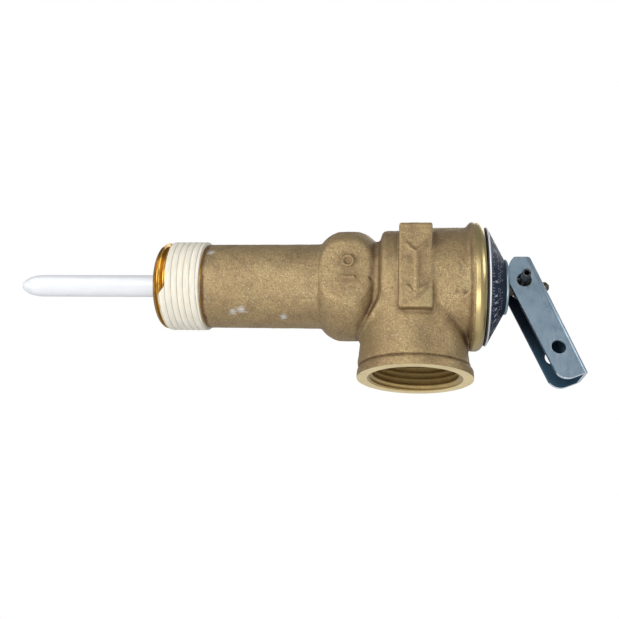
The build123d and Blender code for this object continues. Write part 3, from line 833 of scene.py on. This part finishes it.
def mark_inside(lever):
    """Mark the channel's faces for painted shade, and the bright sheared end, and shade the cheeks flat.
    """
    points = vertex_array(lever.data)
    side_x, side_z = points[:, 0] - PIVOT_X, points[:, 2]
    out = side_x * cos(LEVER_LEAN) + side_z * sin(LEVER_LEAN)
    down = side_x * sin(LEVER_LEAN) - side_z * cos(LEVER_LEAN)
    count = len(lever.data.polygons)
    channel_shade, sheared = np.zeros(count), np.zeros(count)
    for face in lever.data.polygons:
        corners = list(face.vertices)
        wide = np.abs(points[corners, 1]).max() < CHANNEL_HALF + SLACK
        deep = out[corners].max() < CHANNEL_OUT + SLACK
        open_edge = out[corners].max() < OPEN_EDGE_OUT and down[corners].max() < 28
        # Faces within the channel, and along its open edge, get the painted shade.
        channel_shade[face.index] = 1 if (wide and deep) or open_edge else 0
        across = face.normal.x * sin(LEVER_LEAN) - face.normal.z * cos(LEVER_LEAN)
        sheared[face.index] = 1 if down[corners].min() > SHEARED_DOWN and across > 0.3 else 0
        if abs(face.normal.y) > 0.999:
            face.use_smooth = False
    put_attribute(lever.data, "channel_shade", "FACE", channel_shade)
    put_attribute(lever.data, "sheared", "FACE", sheared)


# Width of the eased edge, slot and body of each copy.
PIECES = {
    "test_lever": (0.1, "zinc_plate", "lever"),
    "lever_washer": (0.1, "zinc_plate", "casing"),
    "name_plate": (0.08, "plate_paint", "casing"),
    "pivot_pin": (0.08, "spring_steel", "stem_unit"),
    "stem": (0.15, "brass", "stem_unit"),
    "dust_washer": (0.03, "black_rubber", "casing"),
    "bonnet_gasket": (0.06, "black_rubber", "casing"),
    "bonnet": (0.12, "brass", "casing"),
}
eased_pieces = {node: eased(node, *rest) for node, rest in PIECES.items()}
mark_inside(eased_pieces["test_lever"])


# --------------------------------------------------------------------------------------------------
# Springs: copies of the packed springs, in place of the imported ones
# --------------------------------------------------------------------------------------------------
def sprung(node, body):
    """A copy of a packed spring, which stands for it on the given body.
    """
    copy = bpy.data.objects.new(node + "_coil", frame["nodes"][node].data.copy())
    bpy.context.scene.collection.objects.link(copy)
    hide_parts(node)
    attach(copy, body)
    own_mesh(copy)
    return copy


springs = [
    sprung("main_spring", "casing"),
    sprung("return_spring", "casing"),
]


# --------------------------------------------------------------------------------------------------
# Materials
# --------------------------------------------------------------------------------------------------
class Paint:
    """A procedural material: one Principled shader, and short calls for the nodes that feed it."""

    def __init__(self, name, colour, metallic=0.0, roughness=0.5, **constants):
        self.material = bpy.data.materials.new(name)
        self.material.use_nodes = True
        self.tree = self.material.node_tree
        self.shader = self.tree.nodes["Principled BSDF"]
        self.shader.inputs["Base Color"].default_value = (*colour, 1)
        self.shader.inputs["Metallic"].default_value = metallic
        self.shader.inputs["Roughness"].default_value = roughness
        for key, value in constants.items():
            self.shader.inputs[key.replace("_", " ")].default_value = value
        self.place = self.tree.nodes.new("ShaderNodeTexCoord").outputs["Object"]
        self.bumps = None

    def node(self, kind, settings=None, **inputs):
        made = self.tree.nodes.new("ShaderNode" + kind)
        for key, value in (settings or {}).items():
            setattr(made, key, value)
        for key, value in inputs.items():
            self.feed(made.inputs[key.replace("_", " ")], value)
        return made

    def feed(self, socket, value):
        """Link a socket to an output, or set it to a constant."""
        if isinstance(value, bpy.types.NodeSocket):
            self.tree.links.new(value, socket)
        else:
            socket.default_value = value

    def math(self, operation, a, b=0.0):
        made = self.tree.nodes.new("ShaderNodeMath")
        made.operation = operation
        self.feed(made.inputs[0], a)
        self.feed(made.inputs[1], b)
        return made.outputs[0]

    def noise(self, size, detail=3.0, roughness=0.5, stretch=(1, 1, 1)):
        """Noise whose features are about size millimetres across."""
        scaled = self.node("Mapping", Vector=self.place, Scale=tuple(k / (size * MM) for k in stretch))
        fineness = {"Detail": detail, "Roughness": roughness}
        made = self.node("TexNoise", Vector=scaled.outputs[0], Scale=1.0, **fineness)
        return made.outputs["Fac"]

    def ramp(self, value, low, high, to_low=0.0, to_high=1.0):
        """The value, carried from one range over to another."""
        limits = {"From_Min": low, "From_Max": high, "To_Min": to_low, "To_Max": to_high}
        return self.node("MapRange", Value=value, **limits).outputs[0]

    def mix(self, share, a, b):
        """Colour a blended into colour b by a share."""
        made = self.tree.nodes.new("ShaderNodeMix")
        made.data_type = "RGBA"
        self.feed(made.inputs[0], share)
        self.feed(made.inputs[6], a if isinstance(a, bpy.types.NodeSocket) else (*a, 1))
        self.feed(made.inputs[7], b if isinstance(b, bpy.types.NodeSocket) else (*b, 1))
        return made.outputs[2]

    def bump(self, height, depth, strength=1.0):
        """Bumps of about depth millimetres, over any that are there already."""
        made = self.node("Bump", Height=height, Strength=strength, Distance=depth * MM)
        if self.bumps:
            self.feed(made.inputs["Normal"], self.bumps)
        self.bumps = made.outputs[0]
        self.feed(self.shader.inputs["Normal"], self.bumps)

    def colour(self, value):
        self.feed(self.shader.inputs["Base Color"], value)

    def rough(self, value):
        self.feed(self.shader.inputs["Roughness"], value)

    def attribute(self, name):
        return self.node("Attribute", {"attribute_name": name}).outputs["Fac"]

    def radius(self, centre_x=None):
        """Distance from the valve axis and place along it. With centre_x, the axis is the outlet's."""
        parts = self.node("SeparateXYZ", Vector=self.place).outputs
        if centre_x is None:
            a, b, along = parts[1], parts[2], parts[0]
        else:
            a, b, along = self.math("SUBTRACT", parts[0], centre_x * MM), parts[1], parts[2]
        squares = self.math("ADD", self.math("MULTIPLY", a, a), self.math("MULTIPLY", b, b))
        return self.math("SQRT", squares), along


# Dried sealant wiped on the shank: place and size.
SMEARS = [
    ((2.6, -10.8, 6.5), 1.3),
    ((9.6, -7.0, -10.5), 1.7),
    ((12.2, -7.6, -10.1), 2.0),
    ((24.2, -5.2, -11.5), 1.5),
    ((6.0, 11.0, -6.0), 1.8),
]


def smear(paint, place, size):
    """How thick a ragged smear lies on each place of the skin."""
    distance = paint.node("VectorMath", {"operation": "DISTANCE"})
    paint.feed(distance.inputs[0], paint.place)
    distance.inputs[1].default_value = Vector(place) * MM
    streaks = paint.noise(0.9, detail=4, stretch=(0.35, 1.3, 1.3))
    ragged = paint.math("ADD", distance.outputs["Value"], paint.math("MULTIPLY", streaks, 2.4 * size))
    return paint.ramp(ragged, 2.1 * size, 1.4 * size, 0, 0.8)


def cast_bronze():
    """Sand-cast skin: patches of brown and green, a coarse grain, bright flecks, and painted shade
    darkening its recesses.
    """
    paint = Paint("cast_bronze", (0.3, 0.2, 0.09), metallic=0.65, roughness=0.55)
    broad = paint.ramp(paint.noise(14, detail=4), 0.3, 0.7)
    warm = paint.mix(broad, (0.26, 0.18, 0.085), (0.345, 0.25, 0.12))
    patches = paint.ramp(paint.noise(4.5, detail=5, roughness=0.65), 0.45, 0.72)
    skin = paint.mix(paint.math("MULTIPLY", patches, 0.65), warm, (0.16, 0.105, 0.06))
    green = paint.ramp(paint.noise(7, detail=4, roughness=0.6), 0.52, 0.75, 0, 0.4)
    skin = paint.mix(green, skin, (0.22, 0.2, 0.1))
    grain = paint.noise(0.55, detail=2, roughness=0.6)
    grain_dark = paint.ramp(grain, 0.55, 0.35, 0, 0.5)
    skin = paint.mix(grain_dark, skin, (0.14, 0.085, 0.035))
    fleck = paint.ramp(paint.noise(0.3, detail=1), 0.6, 0.75)
    skin = paint.mix(paint.math("MULTIPLY", fleck, 0.55), skin, (0.62, 0.48, 0.28))
    # Painted shade: points sunk in recesses of the casting are darkened, as if less light reached them.
    recess_shade = paint.ramp(paint.attribute("recess_shade"), 0.12, 0.75, 0, 0.85)
    skin = paint.mix(recess_shade, skin, (0.085, 0.04, 0.018))
    for place, size in SMEARS:
        skin = paint.mix(smear(paint, place, size * MM), skin, (0.5, 0.49, 0.46))
    paint.colour(skin)
    paint.rough(paint.ramp(fleck, 0, 1, 0.55, 0.38))
    paint.bump(paint.noise(1.6, detail=3), 0.12, 0.6)
    paint.bump(grain, 0.1, 0.9)
    paint.bump(paint.noise(0.28, detail=1), 0.04, 0.7)
    return paint.material


LATHE_FEED = 0.14


def turned_brass(name, colour, dark, roughness, centre_x=None):
    """Brass with the fine rings that a lathe tool leaves."""
    paint = Paint(name, colour, metallic=0.95, roughness=roughness)
    radius, along = paint.radius(centre_x)
    rings = paint.math("MULTIPLY", paint.math("ADD", radius, along), 1 / (LATHE_FEED * MM))
    turning = paint.node("TexNoise", {"noise_dimensions": "1D"}, W=rings, Scale=1.0, Detail=2.0)
    groove = turning.outputs["Fac"]
    tarnish = paint.ramp(paint.noise(6, detail=4, roughness=0.6), 0.45, 0.75, 0, 0.7)
    paint.colour(paint.mix(tarnish, colour, dark))
    paint.rough(paint.ramp(groove, 0.3, 0.7, roughness - 0.07, roughness + 0.1))
    paint.bump(groove, 0.02, 0.5)
    return paint.material


def sealant_paint():
    """Dried cream pipe dope, streaked along the thread, with specks and a darker seam between its ridges.
    """
    paint = Paint("sealant", (0.68, 0.65, 0.55), roughness=0.72)
    streak = paint.ramp(paint.noise(2.2, detail=4, stretch=(3, 0.6, 0.6)), 0.3, 0.7)
    cream = paint.mix(streak, (0.53, 0.495, 0.405), (0.62, 0.58, 0.485))
    speck = paint.ramp(paint.noise(0.7, detail=2), 0.74, 0.79)
    cream = paint.mix(speck, cream, (0.12, 0.10, 0.07))
    # The seam at the bottom of the groove between ridges is darkened.
    line = paint.math("MULTIPLY", paint.attribute("seam"), 0.85)
    paint.colour(paint.mix(line, cream, (0.16, 0.15, 0.12)))
    paint.bump(paint.noise(0.8, detail=3), 0.05, 0.6)
    return paint.material


def white_plastic(name, colour, roughness):
    """Moulded plastic with a slight gloss and a few dark specks."""
    paint = Paint(name, colour, roughness=roughness, Coat_Weight=0.3, Coat_Roughness=0.12,
                  Subsurface_Weight=0.15, Subsurface_Radius=(0.002, 0.002, 0.002))
    cloud = paint.ramp(paint.noise(5, detail=3), 0.3, 0.7)
    base = paint.mix(cloud, tuple(k * 0.96 for k in colour), colour)
    speck = paint.ramp(paint.noise(1.1, detail=1), 0.79, 0.81)
    paint.colour(paint.mix(speck, base, (0.1, 0.1, 0.1)))
    paint.bump(paint.noise(1.5, detail=2), 0.02, 0.4)
    return paint.material


def zinc():
    """Bluish zinc plate, with painted shade inside the lever's channel that lightens towards its lower
    end, and bright at its sheared end.
    """
    paint = Paint("zinc_plate", (0.3, 0.38, 0.44), metallic=0.85, roughness=0.4)
    cloud = paint.ramp(paint.noise(3.5, detail=5, roughness=0.6), 0.3, 0.7)
    plate = paint.mix(cloud, (0.19, 0.26, 0.32), (0.26, 0.33, 0.375))
    parts = paint.node("SeparateXYZ", Vector=paint.place).outputs
    # Painted shade in the channel: nearly black high up, a dark blue lower down where more light gets in.
    low = paint.ramp(parts[2], -10 * MM, -27 * MM)
    inside = paint.mix(low, (0.008, 0.014, 0.024), (0.05, 0.11, 0.16))
    plate = paint.mix(paint.attribute("sheared"), plate, (0.6, 0.66, 0.7))
    paint.colour(paint.mix(paint.attribute("channel_shade"), plate, inside))
    scuff = paint.noise(0.6, detail=4, stretch=(1, 1, 0.15))
    paint.rough(paint.ramp(scuff, 0.3, 0.7, 0.36, 0.48))
    paint.bump(scuff, 0.01, 0.5)
    return paint.material


# Rings of ticks on the name plate: radius, half height, ticks round the ring, and seed of the gaps.
TICK_RINGS = [
    (16.3, 0.2, 130, 1),
    (15.5, 0.22, 120, 2),
    (14.2, 0.7, 46, 3),
    (12.9, 0.24, 100, 4),
    (11.9, 0.24, 92, 5),
    (10.7, 0.24, 80, 6),
]
TICK_HALF_WIDTH = 0.16
BARE_EDGE_R = 17.0
ENAMEL = (0.012, 0.018, 0.035)


def tick_ring(paint, radius, angle, ring):
    """One ring of short radial ticks, with about a third of them left out."""
    ring_r, half_height, count, seed = ring
    turn = paint.math("MULTIPLY", angle, count / (2 * pi))
    cell = paint.math("FLOOR", turn)
    off_centre = paint.math("SUBTRACT", paint.math("SUBTRACT", turn, cell), 0.5)
    wide = paint.math("LESS_THAN", paint.math("ABSOLUTE", off_centre), TICK_HALF_WIDTH)
    off_ring = paint.math("SUBTRACT", radius, ring_r * MM)
    tall = paint.math("LESS_THAN", paint.math("ABSOLUTE", off_ring), half_height * MM)
    key = paint.node("CombineXYZ", X=cell, Y=float(seed)).outputs[0]
    chance = paint.node("TexWhiteNoise", {"noise_dimensions": "2D"}, Vector=key).outputs["Value"]
    printed = paint.math("GREATER_THAN", chance, 0.35)
    return paint.math("MULTIPLY", paint.math("MULTIPLY", wide, tall), printed)


def plate_paint():
    """Dark enamel with rings of plain print-like ticks, and a bare bright edge."""
    paint = Paint("plate_paint", ENAMEL, roughness=0.6, Specular_IOR_Level=0.12)
    radius, _ = paint.radius()
    parts = paint.node("SeparateXYZ", Vector=paint.place).outputs
    angle = paint.math("ARCTAN2", parts[1], parts[2])
    rings = [tick_ring(paint, radius, angle, ring) for ring in TICK_RINGS]
    ticks = reduce(lambda a, b: paint.math("MAXIMUM", a, b), rings)
    edge = paint.math("GREATER_THAN", radius, BARE_EDGE_R * MM)
    base = paint.mix(paint.math("MULTIPLY", ticks, 0.6), ENAMEL, (0.5, 0.53, 0.58))
    paint.colour(paint.mix(edge, base, (0.75, 0.76, 0.78)))
    paint.feed(paint.shader.inputs["Metallic"], edge)
    paint.bump(paint.noise(0.5, detail=2), 0.01, 0.3)
    return paint.material


def plain_metal(name, colour, roughness, metallic=0.95):
    """Metal with slight clouds in its colour and shine."""
    paint = Paint(name, colour, metallic=metallic, roughness=roughness)
    cloud = paint.ramp(paint.noise(2.0, detail=4), 0.3, 0.7)
    paint.colour(paint.mix(cloud, tuple(k * 0.8 for k in colour), colour))
    paint.rough(paint.ramp(cloud, 0, 1, roughness + 0.06, roughness - 0.04))
    paint.bump(paint.noise(0.4, detail=2), 0.01, 0.4)
    return paint.material


def plain_soft(name, colour, roughness):
    """Rubber, wax or plastic with slight clouds in its colour."""
    paint = Paint(name, colour, roughness=roughness)
    cloud = paint.ramp(paint.noise(2.5, detail=4), 0.3, 0.7)
    paint.colour(paint.mix(cloud, tuple(k * 0.75 for k in colour), colour))
    paint.bump(paint.noise(0.5, detail=3), 0.02, 0.5)
    return paint.material


FINISH = {
    "cast_bronze": cast_bronze(),
    "sealant": sealant_paint(),
    "probe_plastic": white_plastic("probe_plastic", (0.60, 0.605, 0.62), 0.3),
    "tip_plastic": white_plastic("tip_plastic", (0.54, 0.555, 0.575), 0.38),
    "brass": turned_brass("brass", (0.26, 0.22, 0.14), (0.1, 0.09, 0.06), 0.45),
    "copper": plain_metal("copper", (0.72, 0.36, 0.22), 0.35),
    "zinc_plate": zinc(),
    "spring_steel": plain_metal("spring_steel", (0.07, 0.07, 0.075), 0.4),
    "stainless": plain_metal("stainless", (0.55, 0.55, 0.56), 0.3),
    "black_rubber": plain_soft("black_rubber", (0.012, 0.012, 0.014), 0.6),
    "plate_paint": plate_paint(),
    "wax": plain_soft("wax", (0.6, 0.5, 0.3), 0.5),
    "slip_plastic": plain_soft("slip_plastic", (0.5, 0.5, 0.48), 0.4),
}
BODY_FINISHES = [
    FINISH["cast_bronze"],
    turned_brass("turned_rim", (0.46, 0.35, 0.16), (0.3, 0.25, 0.11), 0.33),
    turned_brass("turned_inlet", (0.5, 0.29, 0.06), (0.16, 0.09, 0.02), 0.24),
    turned_brass("turned_outlet_face", (0.9, 0.74, 0.41), (0.7, 0.58, 0.3), 0.42, OUTLET_X),
    plain_metal("tapped_outlet", (0.42, 0.29, 0.11), 0.3, metallic=0.6),
]
STEM_BRASS = turned_brass("stem_brass", (0.09, 0.08, 0.055), (0.04, 0.037, 0.03), 0.5)


def dress(piece, *finishes):
    """Give a piece these materials in place of those that it came with."""
    piece.data.materials.clear()
    for finish in finishes:
        piece.data.materials.append(finish)


for part in frame["record"]["subparts"]:
    dress(frame["nodes"][part["node"]], FINISH[part["material_slot"]])
for node, copy in eased_pieces.items():
    dress(copy, FINISH[PIECES[node][1]])
dress(eased_pieces["stem"], STEM_BRASS)
for spring in springs:
    dress(spring, FINISH["spring_steel"])
dress(sealant, FINISH["sealant"])
dress(casting, *BODY_FINISHES)
casting.data.polygons.foreach_set("material_index", regions)


# --------------------------------------------------------------------------------------------------
# Stage, light and camera
# --------------------------------------------------------------------------------------------------
FLOOR_Z = -450
CAMERA_LENS = 44.9
CAMERA_PLACE = (59.708, -213.713, -84.635)
CAMERA_RIGHT = (0.99214, 0.11521, 0.04881)
CAMERA_UP = (-0.00665, -0.34104, 0.94003)
CAMERA_FORWARD = (-0.12495, 0.93296, 0.33759)
WHITE = (1, 1, 1, 1)


def make_stage():
    """A plain pale floor well below the object, which glows a little so that it stays pale."""
    bpy.ops.mesh.primitive_plane_add(size=8, location=(0, 0, FLOOR_Z * MM))
    floor = bpy.context.object
    floor.name = "floor"
    paint = Paint(
        "floor", (0.9, 0.9, 0.9), roughness=0.9, Emission_Color=WHITE, Emission_Strength=0.25
    )
    floor.data.materials.append(paint.material)


def make_camera():
    """A camera below the valve and in front of it, looking slightly up at the outlet."""
    data = bpy.data.cameras.new("camera")
    data.lens = CAMERA_LENS
    camera = bpy.data.objects.new("camera", data)
    bpy.context.scene.collection.objects.link(camera)
    back = -Vector(CAMERA_FORWARD)
    axes = Matrix((CAMERA_RIGHT, CAMERA_UP, back)).transposed().to_4x4()
    camera.matrix_world = Matrix.Translation(Vector(CAMERA_PLACE) * MM) @ axes
    data.clip_start = 0.01
    data.clip_end = 20
    bpy.context.scene.camera = camera


LIGHT_TARGET = (20, 0, 0)
# Soft lights: name, place, size and power.
LIGHTS = [
    ("key", (-60, -420, 60), 260, 0.85),
    ("right", (430, -160, 130), 160, 0.5),
    ("fill", (-260, -260, 260), 220, 0.5),
    ("low", (40, -330, -280), 240, 0.85),
    ("side", (-330, -210, -40), 160, 0.6),
    ("back", (200, 320, 260), 260, 0.5),
]


def soft_light(name, place, size, power):
    """A soft square light that faces the valve."""
    data = bpy.data.lights.new(name, "AREA")
    data.size = size * MM
    data.energy = power
    light = bpy.data.objects.new(name, data)
    bpy.context.scene.collection.objects.link(light)
    light.location = Vector(place) * MM
    facing = Vector(LIGHT_TARGET) - Vector(place)
    light.rotation_euler = facing.to_track_quat("-Z", "Y").to_euler()


def make_world():
    """Cool dim light from all round, behind which the camera sees plain white."""
    world = bpy.data.worlds.new("world")
    bpy.context.scene.world = world
    world.use_nodes = True
    tree = world.node_tree
    studio = tree.nodes["Background"]
    studio.inputs[0].default_value = (0.87, 0.92, 1.0, 1)
    studio.inputs[1].default_value = 0.4
    backdrop = tree.nodes.new("ShaderNodeBackground")
    backdrop.inputs[0].default_value = WHITE
    seen = tree.nodes.new("ShaderNodeLightPath")
    either = tree.nodes.new("ShaderNodeMixShader")
    tree.links.new(seen.outputs["Is Camera Ray"], either.inputs[0])
    tree.links.new(studio.outputs[0], either.inputs[1])
    tree.links.new(backdrop.outputs[0], either.inputs[2])
    tree.links.new(either.outputs[0], tree.nodes["World Output"].inputs["Surface"])


make_stage()
make_camera()
make_world()
for light in LIGHTS:
    soft_light(*light)
bpy.context.scene.view_settings.view_transform = "Standard"
